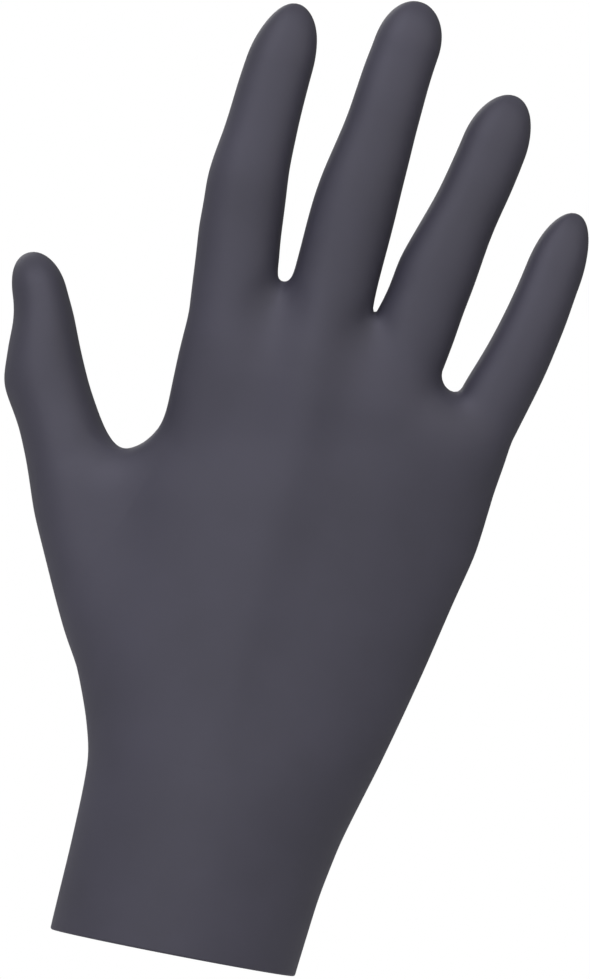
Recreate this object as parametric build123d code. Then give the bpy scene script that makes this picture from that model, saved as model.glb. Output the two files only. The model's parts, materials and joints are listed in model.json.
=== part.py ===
from build123d import *
from math import copysign, cos, pi, radians, sin, tan
import os

# A thin dipped rubber glove in the shape it takes on a spread right hand, in millimetres. The origin is the
# centre of the cuff's opening. +Z runs up the forearm to the fingers, +X to the little finger and +Y to the
# palm side. The real glove is one film. It is built whole here, as an outer skin less an inner one, and then
# divided where it flexes, so that each zone can turn on its own knuckle.

# ---- driving dimensions ----------------------------------------------------------------------------------
FILM = 0.12            # wall of the film
BEAD_HEIGHT = 1.3      # rolled bead inside the cuff's edge, along the cuff
BEAD_WALL = 0.9        # its thickness, all of it inside the cuff's outer surface
BEAD_ROUND = 0.35      # rounding of the bead's edges
WRIST = 38.0           # height of the wrist's hinge above the cuff's edge
WRIST_TURN = 25.0      # how far the wrist bends, either way, in degrees
FOLD_GAP = 0.5         # least half width of the band of film that gives at a hinge
REACH = 300.0          # longer than the glove, for cutting tools
WRIST_DEPTH = 20.0     # half the wrist's depth
WRIST_BAND = FOLD_GAP + WRIST_DEPTH * tan(radians(WRIST_TURN / 2))    # half width of the band that bends there
PALM_STEP = 8.0        # spacing of the ribs of the hand's body
DIGIT_STEP = 4.0       # the same in a digit
SECTION_POINTS = 16    # points on each cross-section's closed curve
DIGIT_POWER = 2.15     # a digit's cross-sections are superellipses: 2 is an ellipse, more is squarer

# The hand's body, rib by rib up from the cuff: height, left end, right end, half depth, centre in y, power.
PALM_RIBS = [
    (0.0, -30.5, 30.5, 21.5, 0.0, 2.0),
    (20.0, -29.6, 32.6, 21.0, 0.0, 2.0),
    (40.0, -29.2, 37.0, 19.8, 0.0, 2.1),
    (60.0, -31.0, 42.3, 18.0, 0.5, 2.2),
    (80.0, -36.0, 47.0, 16.5, 1.0, 2.3),
    (98.0, -40.0, 51.0, 15.6, 1.2, 2.3),
    (110.0, -39.5, 54.0, 15.2, 1.2, 2.3),
    (118.0, -35.5, 55.3, 14.8, 1.0, 2.3),
    (126.0, -30.0, 56.2, 14.0, 0.8, 2.3),
    (134.0, -27.4, 56.5, 12.8, 0.5, 2.3),
    (141.0, -26.5, 52.0, 11.0, 0.3, 2.3),
    (147.0, -25.6, 42.0, 9.2, 0.0, 2.2),
    (152.0, -24.5, 33.5, 7.8, 0.0, 2.1),
    (157.0, -22.5, 27.0, 6.4, 0.0, 2.0),
    (162.3, -19.0, 19.8, 4.8, 0.0, 2.0),
    (167.0, -13.5, 8.5, 3.0, 0.0, 2.0),
]

# Each digit: the two ends of its axis, how far its own film reaches to either side of the axis at the web,
# the direction it bends in (0 is towards +X, 90 towards the palm side), then its folds and its stations.
# A fold is a name, a distance along the axis, the largest turn in degrees and the depth on the inner side.
# A station is the distance, the shift towards +X, the shift to the palm side, the half width and half depth.
DIGITS = {
    "index_finger": {
        "axis": ((-17.0, 0.0, 162.0), (-14.6, 0.0, 234.6)),
        "reach": (-30.0, 12.2),
        "bends_to": 90.0,
        "folds": [("root_fold", 12.0, 60.0, 9.8), ("middle_fold", 29.0, 80.0, 9.3), ("end_fold", 49.0, 45.0, 9.0)],
        "sections": ["lower_section", "middle_section", "tip"],
        "stations": [
            (-44.0, 1.0, 0.0, 6.0, 6.0), (-28.0, 0.5, 0.0, 8.3, 9.5), (-12.0, 0.3, 0.0, 9.3, 10.2),
            (8.0, 0.0, 0.0, 10.2, 9.8), (17.0, -1.0, 0.0, 10.1, 9.4), (26.0, -1.7, 0.0, 10.0, 9.2),
            (34.0, -1.7, 0.1, 9.2, 8.4), (42.0, -1.4, 0.5, 8.8, 7.9), (50.0, -1.0, 1.2, 8.5, 7.5),
            (58.0, -0.5, 2.3, 8.1, 6.9), (64.0, 0.0, 3.3, 7.0, 6.0), (68.0, 0.1, 4.0, 5.5, 4.8),
            (70.8, 0.0, 4.5, 3.6, 3.2), (72.2, 0.0, 4.8, 1.5, 1.4)],
    },
    "middle_finger": {
        "axis": ((8.2, -1.5, 162.0), (15.0, -1.5, 240.3)),
        "reach": (-13.2, 10.3),
        "bends_to": 90.0,
        "folds": [("root_fold", 12.0, 60.0, 10.0), ("middle_fold", 29.0, 80.0, 9.6), ("end_fold", 53.0, 45.0, 9.3)],
        "sections": ["lower_section", "middle_section", "tip"],
        "stations": [
            (-44.0, 0.0, 0.0, 6.0, 6.0), (-26.0, 0.0, 0.0, 9.0, 10.0), (-10.0, -0.6, 0.0, 10.0, 10.4),
            (8.0, -1.1, 0.0, 10.3, 10.0), (18.0, -1.3, 0.0, 10.4, 9.7), (26.0, -1.3, 0.0, 10.4, 9.5),
            (35.0, -1.2, 0.1, 9.8, 8.8), (44.0, -0.9, 0.5, 9.0, 8.2), (52.0, -0.5, 1.2, 8.6, 7.9),
            (60.0, -0.4, 2.2, 8.3, 7.4), (67.0, -0.2, 3.3, 7.8, 6.7), (72.0, 0.1, 4.1, 7.1, 5.9),
            (76.0, 0.1, 4.8, 5.4, 4.5), (78.1, 0.1, 5.2, 2.4, 2.0)],
    },
    "ring_finger": {
        "axis": ((29.5, 0.0, 158.0), (41.9, 0.0, 223.2)),
        "reach": (-11.7, 13.0),
        "bends_to": 90.0,
        "folds": [("root_fold", 11.0, 55.0, 9.2), ("middle_fold", 25.0, 75.0, 8.7), ("end_fold", 43.0, 45.0, 8.6)],
        "sections": ["lower_section", "middle_section", "tip"],
        "stations": [
            (-40.0, 0.0, 0.0, 6.0, 6.0), (-24.0, -0.5, 0.0, 9.0, 9.8), (-8.0, -1.0, 0.0, 9.8, 9.8),
            (4.0, -1.0, 0.0, 9.8, 9.5), (11.0, -0.9, 0.0, 9.6, 9.2), (19.0, -1.1, 0.0, 9.8, 9.1),
            (27.0, -0.7, 0.1, 8.9, 8.4), (35.0, -0.2, 0.5, 8.3, 7.9), (42.0, 0.3, 1.1, 8.2, 7.5),
            (49.0, 0.6, 2.0, 8.1, 7.0), (55.0, 0.6, 2.9, 7.5, 6.3), (60.0, 0.6, 3.7, 6.3, 5.2),
            (64.0, 0.9, 4.4, 3.9, 3.3), (65.9, 1.0, 4.7, 1.6, 1.4)],
    },
    "little_finger": {
        "axis": ((49.5, 2.0, 146.0), (62.3, 2.0, 197.0)),
        "reach": (-8.7, 25.0),
        "bends_to": 90.0,
        "folds": [("root_fold", 8.0, 55.0, 8.2), ("middle_fold", 20.5, 75.0, 7.7), ("end_fold", 35.0, 45.0, 7.6)],
        "sections": ["lower_section", "middle_section", "tip"],
        "stations": [
            (-34.0, 0.0, 0.0, 5.0, 6.0), (-20.0, 0.8, 0.0, 7.8, 8.8), (-7.0, 1.3, 0.0, 8.7, 8.9),
            (3.0, 1.6, 0.0, 8.5, 8.5), (8.0, 1.9, 0.0, 8.2, 8.2), (14.5, 2.4, 0.0, 8.0, 8.0),
            (21.0, 2.5, 0.1, 7.6, 7.5), (27.0, 2.3, 0.4, 7.4, 7.0), (33.0, 2.0, 1.0, 7.1, 6.6),
            (39.0, 1.5, 1.8, 7.0, 6.1), (44.0, 1.0, 2.6, 6.3, 5.3), (48.0, 0.9, 3.2, 5.0, 4.2),
            (51.0, 0.8, 3.7, 3.0, 2.6), (52.2, 0.8, 3.9, 1.3, 1.2)],
    },
    "thumb": {
        "axis": ((-50.0, 12.0, 115.0), (-66.5, 21.0, 163.0)),
        "reach": (-30.0, 16.2),
        "bends_to": 30.0,
        "folds": [("base_fold", 6.5, 40.0, 11.0), ("middle_fold", 22.0, 60.0, 9.5)],
        "sections": ["lower_section", "tip"],
        "stations": [
            (-62.0, 8.5, 0.0, 10.0, 9.0), (-46.0, 7.5, 0.0, 12.4, 13.0), (-30.0, 5.6, 0.0, 13.2, 15.0),
            (-14.0, 3.4, 0.0, 12.0, 14.3), (0.0, 1.6, 0.0, 10.6, 12.3), (9.0, 0.3, 0.0, 10.0, 11.0),
            (19.0, -1.5, 0.0, 9.9, 10.6), (26.0, -0.9, 0.0, 8.8, 10.2), (32.0, 0.1, 0.0, 7.5, 9.9),
            (39.0, 0.4, 0.0, 6.3, 9.0), (44.0, 0.0, 0.0, 5.4, 7.6), (48.0, -0.8, 0.0, 4.0, 5.4),
            (50.0, -1.0, 0.0, 1.9, 2.6)],
    },
}


# ---- the skin --------------------------------------------------------------------------------------------
def evenly(stations, step):
    """Ribs at one even spacing, near the step, read off the straight lines between the stations."""
    first = stations[0][0]
    length = stations[-1][0] - first
    count = round(length / step)
    rows = []
    for k in range(count + 1):
        along = first + length * k / count
        index = min(sum(1 for station in stations[1:] if station[0] <= along), len(stations) - 2)
        low, high = stations[index], stations[index + 1]
        part = (along - low[0]) / (high[0] - low[0])
        rows.append(tuple(a + (b - a) * part for a, b in zip(low, high)))
    return rows


def rib(plane, half_width, half_depth, power):
    """One closed cross-section, as a face on its plane."""
    points = []
    for k in range(SECTION_POINTS):
        c = cos(2 * pi * k / SECTION_POINTS)
        s = sin(2 * pi * k / SECTION_POINTS)
        x = half_width * copysign(abs(c) ** (2 / power), c)
        y = half_depth * copysign(abs(s) ** (2 / power), s)
        points.append((x, y))
    knots = [k / SECTION_POINTS for k in range(SECTION_POINTS + 1)]
    return plane * make_face(Edge.make_spline(points, periodic=True, parameters=knots))


def palm_body(inset):
    """The hand's body as a solid, shrunk by the inset all round and at its closed top."""
    rows = evenly(PALM_RIBS, PALM_STEP)
    ribs = []
    for z, left, right, half_depth, y, power in rows:
        top = inset if z == rows[-1][0] else 0
        plane = Plane(((left + right) / 2, y, z - top))
        ribs.append(rib(plane, (right - left) / 2 - inset, half_depth - inset, power))
    return loft(ribs)


def digit_frame(name):
    """A plane across a digit's root, its x towards +X, its y to the palm side and its z along the digit."""
    start, end = DIGITS[name]["axis"]
    along = (Vector(*end) - Vector(*start)).normalized()
    return Plane(Vector(*start), x_dir=Vector(0, 1, 0).cross(along), z_dir=along)


def digit_body(name, inset):
    """A digit as a solid, from deep inside the hand to its tip, shrunk by the inset."""
    rows = evenly(DIGITS[name]["stations"], DIGIT_STEP)
    ribs = []
    for along, across, palmward, half_width, half_depth in rows:
        top = inset if along == rows[-1][0] else 0
        plane = digit_frame(name) * Plane((across, palmward, along - top))
        ribs.append(rib(plane, half_width - inset, half_depth - inset, DIGIT_POWER))
    return loft(ribs)


def whole_glove(inset):
    whole = palm_body(inset)
    for name in DIGITS:
        whole = whole + digit_body(name, inset)
    return whole


# ---- the cuts --------------------------------------------------------------------------------------------
def above(plane):
    """Everything on the far side of a plane."""
    return plane * Box(2 * REACH, 2 * REACH, REACH, align=(Align.CENTER, Align.CENTER, Align.MIN))


def fold_planes(name, distance, turn, depth):
    """The two planes that bound a fold: close together outside the bend, and open enough to turn inside it."""
    frame = digit_frame(name)
    bend = radians(DIGITS[name]["bends_to"])
    inward = frame.x_dir * cos(bend) + frame.y_dir * sin(bend)
    opening = depth * tan(radians(turn / 2))
    planes = []
    for side in (-1, 1):
        place = frame.origin + frame.z_dir * (distance + side * (FOLD_GAP + opening / 2))
        planes.append(Plane(place, z_dir=frame.z_dir - inward * (side * opening / (2 * depth))))
    return planes


def digit_zones(name):
    """Each zone of a digit with its lower plane, from the first fold to the tip."""
    digit = DIGITS[name]
    zones = []
    for fold, section in zip(digit["folds"], digit["sections"]):
        lower, upper = fold_planes(name, *fold[1:])
        zones.append((name + "_" + fold[0], lower))
        zones.append((name + "_" + section, upper))
    return zones


def digit_space(name):
    """The space that holds a digit beyond its first fold, and nothing of its neighbours."""
    left, right = DIGITS[name]["reach"]
    slab = Box(right - left, REACH, REACH, align=(Align.MIN, Align.CENTER, Align.CENTER))
    return (digit_frame(name) * Pos(left, 0, 0) * slab) & above(digit_zones(name)[0][1])


# ---- the nodes -------------------------------------------------------------------------------------------
def cuff_nodes():
    """The rolled bead, the cuff above it and the band of film at the wrist, from the hand's body alone."""
    body = palm_body(0)
    film = body - palm_body(FILM)
    bead = body - palm_body(BEAD_WALL) - above(Plane((0, 0, BEAD_HEIGHT)))
    bead = fillet(bead.edges().group_by(Axis.Z)[0], BEAD_ROUND)
    cuff = (film & above(Plane((0, 0, BEAD_HEIGHT)))) - above(Plane((0, 0, WRIST - WRIST_BAND)))
    wrist = (film & above(Plane((0, 0, WRIST - WRIST_BAND)))) - above(Plane((0, 0, WRIST + WRIST_BAND)))
    return {"cuff_bead": bead, "cuff": cuff, "wrist_fold": wrist}


def hand_node():
    """The hand, with the webs and the roots of all five digits, cut off at their first folds."""
    film = (whole_glove(0) - whole_glove(FILM)) & above(Plane((0, 0, WRIST + WRIST_BAND)))
    for name in DIGITS:
        film = film - digit_space(name)
    return {"hand": film}


def digit_nodes(name):
    """The zones of one digit, from its first fold to its tip."""
    zones = digit_zones(name)
    rest = (digit_body(name, 0) - digit_body(name, FILM)) & above(zones[0][1])
    nodes = {}
    for (zone, _), (_, upper) in zip(zones, zones[1:]):
        nodes[zone] = rest - above(upper)
        rest = rest & above(upper)
    nodes[zones[-1][0]] = rest
    return nodes


nodes = cuff_nodes()
nodes.update(hand_node())
for digit_name in DIGITS:
    nodes.update(digit_nodes(digit_name))

os.makedirs("parts", exist_ok=True)
for node_name, solid in nodes.items():
    solid.label = node_name
    export_step(solid, "parts/" + node_name + ".step")
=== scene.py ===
import json
import math

import bmesh
import bpy
import numpy as np
from mathutils import Matrix, Vector


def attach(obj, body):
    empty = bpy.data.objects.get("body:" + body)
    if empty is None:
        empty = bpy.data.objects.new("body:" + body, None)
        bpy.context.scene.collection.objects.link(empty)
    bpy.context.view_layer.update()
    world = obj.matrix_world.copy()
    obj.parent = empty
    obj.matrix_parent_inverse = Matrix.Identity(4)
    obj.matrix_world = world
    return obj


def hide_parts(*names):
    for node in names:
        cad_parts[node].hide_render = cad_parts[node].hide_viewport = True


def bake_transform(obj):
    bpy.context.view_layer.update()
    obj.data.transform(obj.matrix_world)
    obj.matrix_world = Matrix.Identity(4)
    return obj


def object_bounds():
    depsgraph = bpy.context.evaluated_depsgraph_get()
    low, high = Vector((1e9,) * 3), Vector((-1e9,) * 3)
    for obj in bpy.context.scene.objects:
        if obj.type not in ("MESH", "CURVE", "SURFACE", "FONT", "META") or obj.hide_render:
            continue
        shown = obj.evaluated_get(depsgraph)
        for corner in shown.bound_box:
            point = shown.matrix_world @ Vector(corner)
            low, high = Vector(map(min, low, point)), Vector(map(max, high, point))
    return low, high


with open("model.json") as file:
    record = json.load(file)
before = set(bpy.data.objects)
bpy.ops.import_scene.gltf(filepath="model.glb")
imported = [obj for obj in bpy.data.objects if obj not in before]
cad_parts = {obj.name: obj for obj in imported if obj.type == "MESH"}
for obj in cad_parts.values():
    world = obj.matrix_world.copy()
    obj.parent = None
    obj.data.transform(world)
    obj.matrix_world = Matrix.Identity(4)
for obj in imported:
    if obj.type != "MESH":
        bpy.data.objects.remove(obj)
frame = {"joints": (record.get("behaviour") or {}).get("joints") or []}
CAD_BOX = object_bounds()

# A thin dipped rubber glove in its worn shape. The visible film is one smooth surface, found as the zero
# level of a distance that is worked out from the digits' hinges. It is cut into pieces where the film lies
# still between two hinges.
#
# Lengths are in millimetres in the frame of the imported part, and turned into metres when a mesh is made.
# +Z runs up the forearm to the fingers, +X to the little finger and +Y to the palm side.

MM = 0.001
FILM = 0.12            # wall of the film
BEAD_RADIUS = 0.55     # the rolled bead inside the cuff's edge
BEAD_POINTS = 240      # points along the bead
BEAD_TURNS = 14        # points around it
ROLL_MARK = (0.10, 2.4, 8)      # the line where the roll ends: depth in radii, angle, sharpness
CELL = 1.0      # grid that the surface is first found on
GRID_LOW = (-78.0, -30.0, -5.0)
GRID_HIGH = (76.0, 42.0, 246.0)
SETTLE_ROUNDS = 3
SETTLE_SHARE = 0.6     # how far a corner moves to the middle of its neighbours in a round
CUT_MARGIN = 4.0       # how near to a cut a face has to lie to be tried
SAME_PLACE = 1e-5      # corners nearer to a cut than this lie on it

# ---- the glove's form ------------------------------------------------------------------------------------
# A digit's rows: distance past its first hinge, shift towards +X, shift to the palm side, half width,
# half depth. Its last two numbers are where the rounding of the tip starts and where the tip ends.
DIGITS = {
    "index_finger": ([
        (-56.0, 1.0, 1.0, 6.0, 7.0), (-40.0, 0.5, 0.5, 8.2, 8.8), (-24.0, 0.7, 0.0, 8.9, 9.6),
        (-12.0, 0.3, 0.0, 9.8, 9.8), (-4.0, 0.0, 0.0, 10.3, 9.7), (2.0, -0.9, 0.0, 10.2, 9.5),
        (8.0, -1.2, 0.0, 10.0, 9.3), (14.0, -1.8, 0.0, 10.0, 9.3), (20.0, -1.9, 0.1, 9.4, 8.7),
        (26.0, -1.5, 0.3, 8.9, 8.1), (32.0, -1.3, 0.7, 8.6, 7.8), (38.0, -1.1, 1.2, 8.5, 7.6),
        (44.0, -0.7, 1.9, 8.3, 7.3), (50.0, -0.2, 2.6, 8.1, 7.0), (56.0, 0.4, 3.1, 8.0, 7.2),
        (61.0, 0.4, 3.4, 8.0, 7.6)], 45.0, 60.4),
    "middle_finger": ([
        (-56.0, 0.0, 1.0, 6.0, 7.0), (-38.0, 0.0, 0.5, 8.8, 9.3), (-22.0, -0.6, 0.0, 10.0, 10.2),
        (-8.0, -0.9, 0.0, 10.3, 10.1), (0.0, -1.1, 0.0, 10.3, 9.8), (8.0, -1.3, 0.0, 10.4, 9.6),
        (15.0, -1.4, 0.0, 10.3, 9.5), (21.0, -1.3, 0.1, 9.9, 9.0), (28.0, -0.9, 0.4, 9.3, 8.4),
        (35.0, -0.6, 0.9, 8.7, 8.0), (42.0, -0.5, 1.4, 8.5, 7.8), (49.0, -0.4, 2.2, 8.3, 7.3),
        (55.0, 0.1, 2.7, 8.1, 7.1), (61.0, 0.3, 3.3, 8.2, 7.2), (67.0, 0.3, 3.7, 8.3, 7.6)], 55.0, 66.8),
    "ring_finger": ([
        (-50.0, 0.0, 0.5, 6.0, 7.0), (-34.0, -0.5, 0.3, 8.6, 9.0), (-19.0, -0.7, 0.0, 9.9, 9.7),
        (-7.0, -0.9, 0.0, 10.0, 9.5), (0.0, -0.9, 0.0, 9.6, 9.2), (7.0, -1.1, 0.0, 9.8, 9.1),
        (13.0, -0.8, 0.1, 9.2, 8.6), (19.0, -0.5, 0.3, 8.6, 8.1), (25.0, 0.0, 0.7, 8.2, 7.7),
        (31.0, 0.4, 1.2, 8.2, 7.5), (38.0, 0.6, 1.9, 8.1, 7.1), (44.0, 0.6, 2.6, 8.0, 6.9),
        (50.0, 0.7, 3.1, 7.9, 7.0), (55.0, 1.0, 3.4, 8.0, 7.4)], 41.0, 54.6),
    "little_finger": ([
        (-42.0, 0.0, 0.0, 5.0, 6.5), (-27.0, 0.8, 0.0, 7.6, 8.2), (-15.0, 1.4, 0.0, 8.4, 8.6),
        (-5.0, 1.6, 0.0, 8.5, 8.4), (1.0, 2.1, 0.0, 8.2, 8.1), (7.0, 2.4, 0.0, 7.9, 7.9),
        (13.0, 2.4, 0.1, 7.6, 7.4), (19.0, 2.3, 0.4, 7.4, 7.0), (25.0, 1.9, 1.0, 7.1, 6.6),
        (31.0, 1.5, 1.7, 7.0, 6.3), (37.0, 1.1, 2.4, 7.0, 6.2), (44.0, 0.9, 2.9, 7.0, 6.6)], 28.5, 44.6),
    "thumb": ([
        (-92.0, 20.0, 0.0, 5.0, 5.0), (-78.0, 14.5, 0.0, 9.0, 8.0), (-66.0, 10.5, 0.5, 11.5, 11.0),
        (-52.0, 7.3, 1.0, 12.3, 13.3), (-36.0, 5.4, 0.5, 12.4, 14.6),
        (-20.0, 3.4, 0.0, 12.2, 14.0), (-7.0, 1.6, 0.0, 10.6, 12.2), (2.0, 0.3, 0.0, 10.0, 11.0),
        (9.0, -1.2, 0.0, 10.1, 10.6), (13.0, -1.9, 0.0, 10.4, 10.6), (18.0, -1.3, 0.2, 9.3, 10.4),
        (23.0, -0.8, 0.4, 8.5, 10.1), (28.0, 0.1, 0.8, 7.4, 9.6), (34.0, 0.0, 1.2, 6.6, 9.0),
        (40.0, -0.5, 1.6, 6.6, 8.6), (45.0, -1.1, 2.0, 6.7, 8.4)], 34.5, 44.8),
}
DIGIT_POWER = 2.45     # a superellipse's power: 2 is an ellipse, more is squarer
DIGIT_SMOOTHING = 2.5  # how far the corners between the rows are smoothed out, as a standard deviation

# The hand's body: height, left side, right side, half depth, centre in y, power.
PALM = [
    (-12.0, -30.6, 29.5, 21.5, 0.0, 2.0), (0.0, -30.6, 30.5, 21.5, 0.0, 2.0),
    (20.0, -29.6, 32.6, 21.0, 0.0, 2.0), (34.0, -29.2, 35.2, 20.3, 0.0, 2.0),
    (44.0, -29.3, 38.0, 19.5, 0.0, 2.0), (54.0, -32.2, 40.9, 18.6, 0.3, 2.0),
    (66.0, -37.0, 44.0, 17.7, 0.6, 2.0), (80.0, -41.5, 47.4, 16.8, 0.9, 2.0),
    (98.0, -44.0, 51.4, 16.0, 1.1, 2.0), (110.0, -40.5, 54.4, 15.3, 1.1, 2.0),
    (118.0, -32.5, 55.2, 14.8, 1.0, 2.0), (126.0, -27.4, 56.0, 14.1, 0.8, 2.05),
    (134.0, -25.4, 56.2, 13.3, 0.5, 2.1), (141.0, -24.6, 53.0, 12.2, 0.3, 2.1),
    (146.0, -24.0, 43.5, 10.4, 0.1, 2.1), (151.0, -22.5, 34.0, 8.2, 0.0, 2.0),
    (155.5, -20.0, 26.0, 6.0, 0.0, 2.0), (159.0, -16.5, 17.5, 4.2, 0.0, 2.0),
    (162.0, -11.0, 7.0, 2.4, 0.0, 2.0), (164.5, -8.0, 1.0, 1.0, 0.0, 2.0),
]
PALM_TOP = 163.5       # height where the hand's body ends
PALM_SMOOTHING = 3.0
CUFF_HALF_WIDTH = 30.5
CUFF_HALF_DEPTH = 21.5

# How softly two forms run into each other: places, and the width of the fillet at each.
FINGER_TO_PALM = ((112.0, 150.0), (2.0, 7.0))      # by the height
THUMB_TO_PALM = ((-60.0, -12.0), (2.0, 14.8))      # by the distance past the thumb's first hinge
FINGER_TO_FINGER = ((-24.0, -5.0, 1.0), (16.0, 9.0, 3.0))     # by the height above the web
WEBS = {"middle_finger": 167.0, "ring_finger": 162.5, "little_finger": 147.0}    # web before each finger

# Knuckles and hollows of the back, then mounds and hollows of the palm: x, z, radius in x, radius in z,
# height. Tendons on the back: two ends as (x, z), width, height.
KNUCKLES = [
    (-12.0, 153.0, 9.0, 16.0, 0.9), (6.0, 150.0, 8.0, 17.0, 1.4), (24.0, 154.0, 9.0, 15.0, 0.6),
    (46.0, 138.0, 8.0, 12.0, 0.5), (-38.0, 104.0, 14.0, 20.0, -4.2), (19.0, 126.0, 8.0, 30.0, -0.5),
]
MOUNDS = [
    (2.0, 98.0, 17.0, 26.0, -2.6), (36.0, 82.0, 13.0, 30.0, 1.0), (-14.0, 140.0, 11.0, 10.0, 0.7),
    (6.0, 142.0, 10.0, 10.0, 0.7), (26.0, 138.0, 10.0, 10.0, 0.6), (44.0, 126.0, 9.0, 10.0, 0.5),
]
TENDONS = [
    ((-11.0, 160.0), (-6.0, 60.0), 7.0, 0.3), ((6.0, 160.0), (1.0, 46.0), 7.5, 0.95),
]
TENDON_TAPER = 0.7     # how bluntly a tendon fades out at its ends: less is blunter
RELIEF_FADE = 8.0      # depth over which each side's relief comes in
BACK_START = 2.0       # y where the back's relief starts

# Where the skin is drawn smooth below each web: x and z, how far that reaches in x and in z, and the size of
# the ball that it is averaged over. It comes in over a depth on either side of the glove's middle.
SOFT_SPOTS = [(-4.6, 158.0), (18.7, 154.0), (41.0, 139.0)]
SOFT_REACH = (10.0, 12.0)
SOFTEST = 5.0
LEAST_BALL = 0.15
SOFT_DEPTH = (2.0, 5.0)
BALL = [np.array((x, y, z)) / math.sqrt(x * x + y * y + z * z)
        for x in (-1, 0, 1) for y in (-1, 0, 1) for z in (-1, 0, 1) if abs(x) + abs(y) + abs(z) in (1, 3)]

# ---- the glove's pieces ----------------------------------------------------------------------------------
# Each digit's first and last hinge, the folds over its hinges and the section of the digit past each fold.
HINGES = {name: (name + "_root", name + "_end") for name in DIGITS}
HINGES["thumb"] = ("thumb_base", "thumb_middle")
FOLDS = {name: ["root_fold", "middle_fold", "end_fold"] for name in DIGITS}
FOLDS["thumb"] = ["base_fold", "middle_fold"]
SECTIONS = {name: ["lower_section", "middle_section", "tip"] for name in DIGITS}
SECTIONS["thumb"] = ["lower_section", "tip"]
# Where each digit's film is cut, past its first hinge.
SEAMS = {
    "index_finger": [-6.2, 7.6, 26.5],
    "middle_finger": [-6.2, 7.6, 28.0],
    "ring_finger": [-5.8, 6.6, 22.5],
    "little_finger": [-5.5, 6.0, 19.6],
    "thumb": [-5.6, 7.0],
}
# Where the film would start and end to bend over each of its hinges, as distances past the first hinge.
# Nothing here bends it.
BENDS = {
    "index_finger": [(-6.2, 7.6), (8.0, 26.0), (28.5, 45.5)],
    "middle_finger": [(-6.2, 7.6), (8.0, 26.0), (32.0, 50.0)],
    "ring_finger": [(-5.8, 6.4), (7.0, 21.5), (24.5, 39.5)],
    "little_finger": [(-5.5, 5.8), (6.2, 19.0), (20.3, 33.7)],
    "thumb": [(-5.6, 6.8), (7.6, 23.6)],
}
# How far a digit's own film reaches to either side of its axis.
REACH = {
    "index_finger": (-16.0, 12.2),
    "middle_finger": (-13.4, 10.6),
    "ring_finger": (-11.9, 13.0),
    "little_finger": (-9.2, 20.0),
    "thumb": (-20.0, 15.4),
}

# ---- colour, light and view: metres, watts and linear colours from here on -------------------------------
FILM_COLOURS = ((0.047, 0.0455, 0.060), (0.056, 0.054, 0.072))      # the two ends of its cloudiness
BEAD_COLOURS = ((0.043, 0.0415, 0.055), (0.052, 0.050, 0.066))
ROUGHNESS = (0.50, 0.60)
NITRILE_IOR = 1.52
FLOOR_COLOUR = (0.86, 0.86, 0.87, 1)
FLOOR_DROP = 0.035     # how far the floor lies below the cuff's edge
FLOOR_RADIUS = 0.5
FLOOR_FADE = (0.5, 0.98)        # where the fade to white starts and ends, as shares of the radius
FLOOR_WHITE = 0.5      # how much white the camera sees in the floor before the fade
# Name, place, target, size, power, colour.
LIGHTS = [
    ("key", (-0.34, -0.62, 0.85), (0, 0, 0.16), 0.8, 5.3, (0.85, 0.83, 1.0)),
    ("fill", (0.34, -0.42, 0.5), (0.03, 0, 0.2), 0.5, 0.75, (1.0, 0.96, 0.9)),
    ("palm_side", (-0.75, 1.2, 0.9), (0, 0, 0.12), 0.9, 4.2, (1.0, 1.0, 1.0)),
    ("front", (-0.3, -1.4, 0.2), (0, 0, 0.12), 0.9, 3.0, (0.93, 0.93, 1.0)),
]
BRIGHT_SIDE = (-0.6, -0.2, 0.8)
SURROUND = (0.08, 0.5)          # the white surrounding's strength on the glove, away from that side and on it
LEAN = math.radians(10.98)      # how far the glove leans to the right in the view
VIEW_CENTRE = Vector((0.00786, 0.0, 0.1172))
VIEW_DISTANCE = 4.0


# ---- forms -----------------------------------------------------------------------------------------------
def smooth_rows(rows, sigma, step=0.5):
    """A table of rows as smooth curves: evenly spaced places, and the other columns at each of them."""
    rows = np.array(rows, float)
    reach = 4 * sigma
    places = np.arange(rows[0, 0] - reach, rows[-1, 0] + reach + step, step)
    kernel = np.exp(-0.5 * (np.arange(-reach, reach + step, step) / sigma) ** 2)
    kernel /= kernel.sum()
    half = len(kernel) // 2
    columns = []
    for k in range(1, rows.shape[1]):
        column = np.interp(places, rows[:, 0], rows[:, k])
        columns.append(np.convolve(np.pad(column, half, mode="edge"), kernel, mode="valid"))
    return places, columns


def ring_distance(u, v, half_width, half_depth, power, extra=0.0):
    """Roughly the distance to a superellipse, less than 0 inside. Extra is added for a rounded end."""
    a = np.abs(u / half_width)
    b = np.abs(v / half_depth)
    radius = ((a ** power + b ** power) ** (2 / power) + extra) ** 0.5
    radius = np.maximum(radius, 0.3)      # keeps the slope finite at the middle
    slope = np.hypot((a / radius) ** (power - 1) / half_width, (b / radius) ** (power - 1) / half_depth)
    return (radius - 1) / np.maximum(slope, 1 / (2.0 * np.maximum(half_width, half_depth)))


def soft_union(a, b, width):
    """The smaller of two distances, with a fillet where they are alike."""
    part = np.clip(0.5 + 0.5 * (b - a) / width, 0, 1)
    return b + (a - b) * part - width * part * (1 - part)


def hinge(name):
    """A joint's place in millimetres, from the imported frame."""
    joint = next(j for j in frame["joints"] if j["name"] == name)
    return np.array(joint["pos_m"]) / MM


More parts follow.
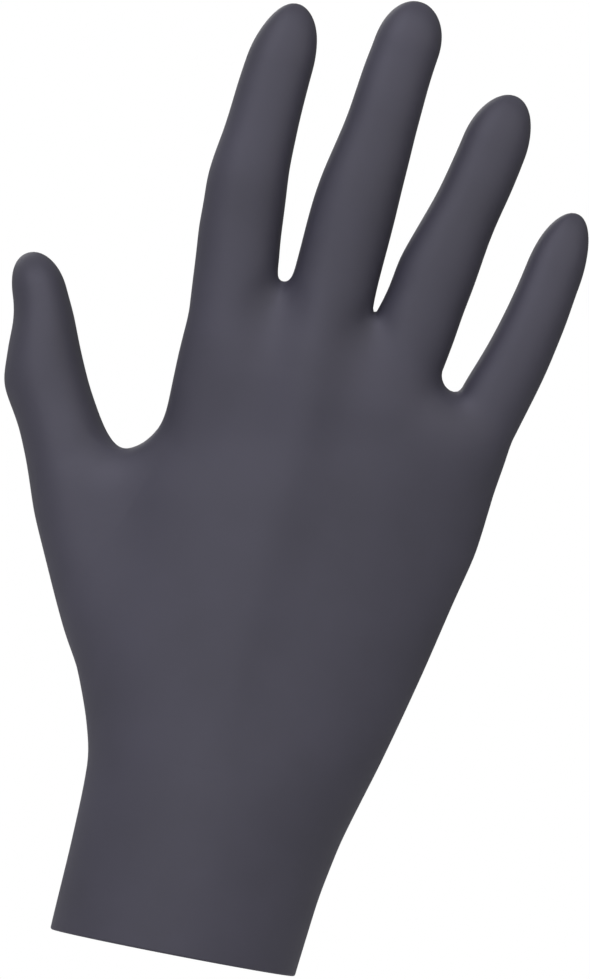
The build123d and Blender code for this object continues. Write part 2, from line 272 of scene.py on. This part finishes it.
class Digit:
    """A finger or the thumb, as smooth cross-sections along the line from its first hinge to its last."""

    def __init__(self, name):
        first, last = HINGES[name]
        rows, self.cap_start, self.cap_end = DIGITS[name]
        self.origin = hinge(first)
        self.along = hinge(last) - self.origin
        self.along /= np.linalg.norm(self.along)
        self.across = np.cross((0, 1, 0), self.along)
        self.across /= np.linalg.norm(self.across)
        self.palmward = np.cross(self.along, self.across)
        self.start = rows[0][0]
        self.places, self.columns = smooth_rows(rows, DIGIT_SMOOTHING)

    def at(self, along):
        """A place on the digit's line, in metres."""
        return (self.origin + self.along * along) * MM

    def distance(self, points):
        local = points - self.origin
        along = local @ self.along
        across, palmward, half_width, half_depth = (np.interp(along, self.places, c) for c in self.columns)
        cap = np.clip((along - self.cap_start) / (self.cap_end - self.cap_start), 0, None) ** 2
        value = ring_distance(local @ self.across - across, local @ self.palmward - palmward,
                              half_width, half_depth, DIGIT_POWER, cap)
        return np.maximum(value, self.start - along)


digits = {name: Digit(name) for name in DIGITS}
palm_places, palm_columns = smooth_rows(PALM, PALM_SMOOTHING)


def palm_distance(points):
    z = points[:, 2]
    low, high, half_depth, middle, power = (np.interp(z, palm_places, c) for c in palm_columns)
    value = ring_distance(points[:, 0] - (low + high) / 2, points[:, 1] - middle,
                          (high - low) / 2, half_depth, power)
    return np.maximum(value, z - PALM_TOP)


# ---- the skin's distance ---------------------------------------------------------------------------------
def bumps(points, table):
    """The height of a table's rounded bumps over each point's x and z."""
    total = np.zeros(len(points))
    for x, z, radius_x, radius_z, height in table:
        total += height * np.exp(-((points[:, 0] - x) / radius_x) ** 2 - ((points[:, 2] - z) / radius_z) ** 2)
    return total


def relief(points):
    """How far the skin stands out over the knuckles, tendons and mounds of the hand, in millimetres."""
    back = bumps(points, KNUCKLES)
    for (x0, z0), (x1, z1), width, height in TENDONS:
        line = np.array((x1 - x0, z1 - z0))
        part = ((points[:, 0] - x0) * line[0] + (points[:, 2] - z0) * line[1]) / (line @ line)
        held = np.clip(part, 0, 1)
        away = np.hypot(points[:, 0] - x0 - held * line[0], points[:, 2] - z0 - held * line[1])
        back += height * np.sin(np.pi * held) ** TENDON_TAPER * np.exp(-(away / width) ** 2)
    on_back = np.clip((BACK_START - points[:, 1]) / RELIEF_FADE, 0, 1)
    on_palm = np.clip(points[:, 1] / RELIEF_FADE, 0, 1)
    return back * on_back + bumps(points, MOUNDS) * on_palm


def sharp_distance(points):
    """Roughly the distance to the glove's outer surface, less than 0 inside."""
    palm = palm_distance(points)
    height = points[:, 2]
    fingers = digits["index_finger"].distance(points)
    for name, web in WEBS.items():
        width = np.interp(height - web, *FINGER_TO_FINGER)
        fingers = soft_union(fingers, digits[name].distance(points), width)
    thumb = digits["thumb"]
    width = np.interp((points - thumb.origin) @ thumb.along, *THUMB_TO_PALM)
    hand = soft_union(palm, fingers, np.interp(height, *FINGER_TO_PALM))
    return soft_union(hand, thumb.distance(points), width) - relief(points)


def distance(points):
    """The same distance, averaged over a small ball below each web on the back and on the palm side."""
    value = sharp_distance(points)
    size = np.zeros(len(points))
    for x, z in SOFT_SPOTS:
        size += np.exp(-((points[:, 0] - x) / SOFT_REACH[0]) ** 2 - ((points[:, 2] - z) / SOFT_REACH[1]) ** 2)
    start, reach = SOFT_DEPTH
    size = SOFTEST * np.clip(size, 0, 1) * np.clip((np.abs(points[:, 1]) - start) / reach, 0, 1)
    near = size > LEAST_BALL
    if near.any():
        total = np.zeros(near.sum())
        for direction in BALL:
            total += sharp_distance(points[near] + size[near][:, None] * direction)
        value[near] = total / len(BALL)
    return value


def slope(points, step=0.05):
    """The distance's gradient, by central differences."""
    columns = []
    for axis in range(3):
        shift = np.zeros(3)
        shift[axis] = step
        columns.append((distance(points + shift) - distance(points - shift)) / (2 * step))
    return np.stack(columns, 1)


# ---- the mesh --------------------------------------------------------------------------------------------
def surface_net(low, high, cell):
    """Quads on the distance's zero level: one corner in each grid cell that it crosses."""
    counts = np.ceil((high - low) / cell).astype(int) + 1
    axes = [low[k] + cell * np.arange(counts[k]) for k in range(3)]
    values = np.empty(counts)
    for k, x in enumerate(axes[0]):
        y, z = np.meshgrid(axes[1], axes[2], indexing="ij")
        points = np.stack([np.full(y.size, x), y.ravel(), z.ravel()], 1)
        values[k] = distance(points).reshape(y.shape)
    cells = counts - 1
    total = np.zeros(tuple(cells) + (3,))
    crossings = np.zeros(cells)
    corners = [(i, j, k) for i in (0, 1) for j in (0, 1) for k in (0, 1)]
    for a in corners:
        for b in corners:
            if sum(b) - sum(a) != 1 or any(q < p for p, q in zip(a, b)):
                continue
            va, vb = (values[tuple(slice(o, o + n) for o, n in zip(c, cells))] for c in (a, b))
            hit = (va < 0) != (vb < 0)
            part = np.where(hit, va / np.where(hit, va - vb, 1), 0)
            total += hit[..., None] * (np.array(a) + part[..., None] * (np.array(b) - np.array(a)))
            crossings += hit
    used = crossings > 0
    numbers = np.full(tuple(cells), -1)
    numbers[used] = np.arange(used.sum())
    verts = low + cell * (np.argwhere(used) + total[used] / crossings[used][:, None])
    inside = values < 0
    faces = []
    for axis in range(3):
        one, two = [k for k in range(3) if k != axis]
        here = [slice(1, -1)] * 3
        here[axis] = slice(0, -1)
        there = list(here)
        there[axis] = slice(1, None)
        start, end = inside[tuple(here)], inside[tuple(there)]
        spots = np.argwhere(start != end)
        leaving = start[start != end]
        spots[:, one] += 1
        spots[:, two] += 1
        ring = []
        for back_one, back_two in ((1, 1), (0, 1), (0, 0), (1, 0)):
            at = spots.copy()
            at[:, one] -= back_one
            at[:, two] -= back_two
            ring.append(numbers[tuple(at.T)])
        quads = np.stack(ring, 1)
        flip = leaving if axis == 1 else ~leaving
        quads[flip] = quads[flip][:, ::-1]
        faces.append(quads)
    return verts, np.concatenate(faces)


def settle(verts, faces, rounds):
    """Evens out the quads and puts their corners back on the surface."""
    pairs = np.concatenate([faces[:, [0, 1]], faces[:, [1, 2]], faces[:, [2, 3]], faces[:, [3, 0]]])
    pairs = np.concatenate([pairs, pairs[:, ::-1]])
    start, end = pairs.T
    degree = np.bincount(start, minlength=len(verts))[:, None]
    for _ in range(rounds):
        average = np.zeros_like(verts)
        for axis in range(3):
            average[:, axis] = np.bincount(start, weights=verts[end, axis], minlength=len(verts))
        verts = verts + SETTLE_SHARE * (average / degree - verts)
        for _ in range(2):
            gradient = slope(verts)
            verts = verts - gradient * (distance(verts) / (gradient ** 2).sum(1))[:, None]
    return verts


def whole_skin():
    """The glove's outer side as quads, with the cuff still closed below its edge."""
    verts, faces = surface_net(np.array(GRID_LOW), np.array(GRID_HIGH), CELL)
    faces = faces[(faces >= 0).all(1)]
    used = np.unique(faces)
    renumber = np.full(len(verts), -1)
    renumber[used] = np.arange(len(used))
    faces = renumber[faces]
    return settle(verts[used], faces, SETTLE_ROUNDS), faces


# ---- cutting the film into pieces ------------------------------------------------------------------------
def cut(bm, digit, along, reach):
    """Cuts a digit's faces across at a distance past its first hinge."""
    near = []
    for face in bm.faces:
        local = np.array(face.calc_center_median()) - digit.origin
        if abs(local @ digit.along - along) < CUT_MARGIN and reach[0] < local @ digit.across < reach[1]:
            near.append(face)
    geometry = near + list({e for f in near for e in f.edges}) + list({v for f in near for v in f.verts})
    place = digit.origin + digit.along * along
    bmesh.ops.bisect_plane(bm, geom=geometry, dist=SAME_PLACE, plane_co=place, plane_no=digit.along)


def cut_skin(verts, faces):
    """The skin opened at the cuff's edge and cut across at every seam, as corners, polygons and centres."""
    bm = bmesh.new()
    made = [bm.verts.new(v) for v in verts]
    for face in faces:
        bm.faces.new([made[k] for k in face])
    bmesh.ops.bisect_plane(bm, geom=bm.verts[:] + bm.edges[:] + bm.faces[:], dist=SAME_PLACE,
                           plane_co=(0, 0, BEAD_RADIUS), plane_no=(0, 0, 1), clear_inner=True)
    for name, seams in SEAMS.items():
        for seam in seams:
            cut(bm, digits[name], seam, REACH[name])
    bm.verts.index_update()
    verts = np.array([v.co for v in bm.verts])
    polygons = [[v.index for v in f.verts] for f in bm.faces]
    centres = np.array([f.calc_center_median() for f in bm.faces])
    bm.free()
    return verts, polygons, centres


def piece_of(centres):
    """Which piece each face belongs to: 0 is the hand, and the rest count up the digits' pieces."""
    found = np.zeros(len(centres), int)
    number = 0
    for name, digit in digits.items():
        local = centres - digit.origin
        along = local @ digit.along
        across = local @ digit.across
        held = (across > REACH[name][0]) & (across < REACH[name][1]) & (along > SEAMS[name][0])
        for seam in SEAMS[name]:
            number += 1
            found[held & (along > seam)] = number
    return found


def add_object(name, data):
    obj = bpy.data.objects.new(name, data)
    bpy.context.scene.collection.objects.link(obj)
    return obj


def film_mesh(name, verts, polygons, normals):
    """A closed piece of film: the outer side, the inner side, and a rim between them at its free edges."""
    used = sorted({k for polygon in polygons for k in polygon})
    renumber = {old: new for new, old in enumerate(used)}
    polygons = [[renumber[k] for k in polygon] for polygon in polygons]
    outer = verts[used]
    inner = outer - FILM * normals[used]
    count = len(used)
    edges = {}
    for polygon in polygons:
        for a, b in zip(polygon, polygon[1:] + polygon[:1]):
            edges[(a, b)] = True
    rim = [(a, b) for a, b in edges if (b, a) not in edges]
    inner_faces = [[k + count for k in reversed(polygon)] for polygon in polygons]
    rim_faces = [[b, a, a + count, b + count] for a, b in rim]
    mesh = bpy.data.meshes.new(name)
    mesh.from_pydata((np.concatenate([outer, inner]) * MM).tolist(), [], polygons + inner_faces + rim_faces)
    mesh.polygons.foreach_set("use_smooth", [True] * len(mesh.polygons))
    own = np.concatenate([normals[used], -normals[used]])
    loops = np.empty(len(mesh.loops), int)
    mesh.loops.foreach_get("vertex_index", loops)
    loop_normals = own[loops]
    for polygon in list(mesh.polygons)[2 * len(polygons):]:
        for loop in polygon.loop_indices:
            loop_normals[loop] = polygon.normal
    mesh.normals_split_custom_set(loop_normals.tolist())
    mesh.validate()
    return mesh


# ---- the bead at the cuff's edge -------------------------------------------------------------------------
def cuff_edge():
    """Points around the cuff's edge, level with the bead's centre, and the skin's outward direction there."""
    around = np.linspace(0, 2 * math.pi, BEAD_POINTS + 1)[:-1]
    edge = np.stack([CUFF_HALF_WIDTH * np.cos(around), CUFF_HALF_DEPTH * np.sin(around),
                     np.full(BEAD_POINTS, BEAD_RADIUS)], 1)
    for _ in range(6):
        steep = slope(edge)
        steep[:, 2] = 0
        edge = edge - steep * (distance(edge) / (steep ** 2).sum(1))[:, None]
    return edge, steep / np.linalg.norm(steep, axis=1)[:, None]


def bead_mesh(name, edge, outward):
    """A small roll of film along the inside of the cuff's edge, flush with the cuff's outer side."""
    depth, place, sharpness = ROLL_MARK
    verts = []
    for point, out in zip(edge, outward):
        centre = point - out * BEAD_RADIUS
        centre[2] = BEAD_RADIUS
        for k in range(BEAD_TURNS):
            angle = 2 * math.pi * k / BEAD_TURNS
            radius = BEAD_RADIUS * (1 - depth * max(0.0, math.cos(angle - place)) ** sharpness)
            verts.append(centre + radius * (out * math.cos(angle) + np.array((0, 0, 1)) * math.sin(angle)))
    faces = []
    for i in range(len(edge)):
        j = (i + 1) % len(edge)
        for k in range(BEAD_TURNS):
            m = (k + 1) % BEAD_TURNS
            faces.append((i * BEAD_TURNS + k, j * BEAD_TURNS + k, j * BEAD_TURNS + m, i * BEAD_TURNS + m))
    mesh = bpy.data.meshes.new(name)
    mesh.from_pydata((np.array(verts) * MM).tolist(), [], faces)
    mesh.polygons.foreach_set("use_smooth", [True] * len(faces))
    return mesh


# ---- materials -------------------------------------------------------------------------------------------
def node(tree, kind, **values):
    """A new node, with each value set on the input of that name, or on the node itself."""
    made = tree.nodes.new(kind)
    for key, value in values.items():
        socket = key.replace("_", " ")
        if socket in made.inputs:
            made.inputs[socket].default_value = value
        else:
            setattr(made, key, value)
    return made


def link(tree, *links):
    """Links, each written as a node, its output, another node and its input."""
    for source, output, target, socket in links:
        tree.links.new(source.outputs[output], target.inputs[socket])


def film_material(name, colours):
    """Dipped nitrile: a dark satin skin with a faint cloudiness, fine pebbling and long soft ripples."""
    material = bpy.data.materials.new(name)
    material.use_nodes = True
    tree = material.node_tree
    shader = tree.nodes["Principled BSDF"]
    shader.inputs["IOR"].default_value = NITRILE_IOR
    shader.inputs["Specular IOR Level"].default_value = 0.4
    place = node(tree, "ShaderNodeTexCoord")
    clouds = node(tree, "ShaderNodeTexNoise", Scale=38.0, Detail=3.0, Roughness=0.5)
    pebbles = node(tree, "ShaderNodeTexNoise", Scale=2600.0, Detail=2.0, Roughness=0.6)
    ripples = node(tree, "ShaderNodeTexNoise", Scale=150.0, Detail=2.0, Roughness=0.45)
    colour = node(tree, "ShaderNodeValToRGB")
    for element, position, shade in zip(colour.color_ramp.elements, (0.3, 0.7), colours):
        element.position = position
        element.color = (*shade, 1)
    rough = node(tree, "ShaderNodeMapRange", To_Min=ROUGHNESS[0], To_Max=ROUGHNESS[1])
    coarse = node(tree, "ShaderNodeBump", Strength=0.25, Distance=0.0004)
    fine = node(tree, "ShaderNodeBump", Strength=0.25, Distance=0.00004)
    link(tree,
         (place, "Object", clouds, "Vector"),
         (place, "Object", pebbles, "Vector"),
         (place, "Object", ripples, "Vector"),
         (clouds, "Fac", colour, "Fac"),
         (colour, "Color", shader, "Base Color"),
         (pebbles, "Fac", rough, "Value"),
         (rough, "Result", shader, "Roughness"),
         (ripples, "Fac", coarse, "Height"),
         (pebbles, "Fac", fine, "Height"),
         (coarse, "Normal", fine, "Normal"),
         (fine, "Normal", shader, "Normal"))
    return material


def floor_material(fade_from, fade_to):
    """A pale matt floor, which fades towards its rim into the white behind it."""
    material = bpy.data.materials.new("floor")
    material.use_nodes = True
    tree = material.node_tree
    tree.nodes.clear()
    matt = node(tree, "ShaderNodeBsdfDiffuse", Color=FLOOR_COLOUR)
    white = node(tree, "ShaderNodeEmission")
    place = node(tree, "ShaderNodeNewGeometry")
    away = node(tree, "ShaderNodeVectorMath", operation="LENGTH")
    fade = node(tree, "ShaderNodeMapRange", interpolation_type="SMOOTHSTEP", From_Min=fade_from,
                From_Max=fade_to, To_Min=FLOOR_WHITE)
    rays = node(tree, "ShaderNodeLightPath")
    seen = node(tree, "ShaderNodeMath", operation="MULTIPLY")
    mix = node(tree, "ShaderNodeMixShader")
    output = node(tree, "ShaderNodeOutputMaterial")
    link(tree,
         (place, "Position", away, 0),
         (away, "Value", fade, "Value"),
         (fade, "Result", seen, 0),
         (rays, "Is Camera Ray", seen, 1),
         (seen, "Value", mix, 0),
         (matt, "BSDF", mix, 1),
         (white, "Emission", mix, 2),
         (mix, "Shader", output, "Surface"))
    return material


# ---- floor, light and camera -----------------------------------------------------------------------------
def add_floor(height, radius):
    """A round floor, small and low enough to stay out of the camera's level view."""
    turns = 96
    mesh = bpy.data.meshes.new("floor")
    edge = [(radius * math.cos(2 * math.pi * k / turns), radius * math.sin(2 * math.pi * k / turns), height)
            for k in range(turns)]
    mesh.from_pydata(edge, [], [tuple(range(turns))])
    mesh.materials.append(floor_material(FLOOR_FADE[0] * radius, FLOOR_FADE[1] * radius))
    add_object("floor", mesh)


def add_light(name, place, target, size, power, colour):
    light = bpy.data.lights.new(name, "AREA")
    light.shape = "SQUARE"
    light.size = size
    light.energy = power
    light.color = colour
    obj = add_object(name, light)
    obj.location = place
    obj.rotation_euler = (Vector(target) - Vector(place)).to_track_quat("-Z", "Y").to_euler()


def add_world():
    """A white surrounding for the camera. What falls on the glove is dimmer, and brightest from one side."""
    world = bpy.data.worlds.new("world")
    bpy.context.scene.world = world
    world.use_nodes = True
    tree = world.node_tree
    tree.nodes.clear()
    output = node(tree, "ShaderNodeOutputWorld")
    mix = node(tree, "ShaderNodeMixShader")
    rays = node(tree, "ShaderNodeLightPath")
    place = node(tree, "ShaderNodeTexCoord")
    facing = node(tree, "ShaderNodeVectorMath", operation="DOT_PRODUCT")
    facing.inputs[1].default_value = Vector(BRIGHT_SIDE).normalized()
    strength = node(tree, "ShaderNodeMapRange", From_Min=-1.0, To_Min=SURROUND[0], To_Max=SURROUND[1])
    dim = node(tree, "ShaderNodeBackground", Color=(1, 1, 1, 1))
    white = node(tree, "ShaderNodeBackground", Color=(1, 1, 1, 1))
    link(tree,
         (place, "Generated", facing, 0),
         (facing, "Value", strength, "Value"),
         (strength, "Result", dim, "Strength"),
         (rays, "Is Camera Ray", mix, 0),
         (dim, "Background", mix, 1),
         (white, "Background", mix, 2),
         (mix, "Shader", output, "Surface"))


def add_camera(long_side):
    """A level camera in front of the glove's back, turned by the lean, that just holds the long side."""
    camera = bpy.data.cameras.new("camera")
    camera.lens = camera.sensor_width * VIEW_DISTANCE / long_side
    obj = add_object("camera", camera)
    obj.matrix_world = (Matrix.Translation(VIEW_CENTRE + Vector((0, -VIEW_DISTANCE, 0)))
                        @ Matrix.Rotation(math.radians(90), 4, "X") @ Matrix.Rotation(LEAN, 4, "Z"))
    bpy.context.scene.camera = obj


# ---- the glove -------------------------------------------------------------------------------------------
verts, polygons, centres = cut_skin(*whole_skin())
gradient = slope(verts)
normals = gradient / np.linalg.norm(gradient, axis=1)[:, None]
kind = piece_of(centres)
film = film_material("nitrile_film", FILM_COLOURS)


def piece(name, number):
    """The film of one numbered piece as an object."""
    mine = [polygon for polygon, k in zip(polygons, kind) if k == number]
    obj = add_object(name, film_mesh(name, verts, mine, normals))
    obj.data.materials.append(film)
    return obj


hand = piece("glove_hand", 0)
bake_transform(hand)
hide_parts("cuff", "wrist_fold", "hand")
number = 0
for digit_name, digit in digits.items():
    for fold, section, (start, end) in zip(FOLDS[digit_name], SECTIONS[digit_name], BENDS[digit_name]):
        number += 1
        child = digit_name + "_" + section
        obj = piece("glove_" + child, number)
        digit.at(start)
        digit.at(end)
        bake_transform(obj)
        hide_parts(digit_name + "_" + fold, child)

bead = add_object("glove_bead", bead_mesh("glove_bead", *cuff_edge()))
bead.data.materials.append(film_material("nitrile_bead", BEAD_COLOURS))
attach(bead, "cuff")
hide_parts("cuff_bead")

low, high = Vector(CAD_BOX[0]), Vector(CAD_BOX[1])
add_world()
add_floor(low.z - FLOOR_DROP, FLOOR_RADIUS)
for light in LIGHTS:
    add_light(*light)
add_camera(high.z - low.z)

bpy.context.scene.view_settings.view_transform = "Standard"
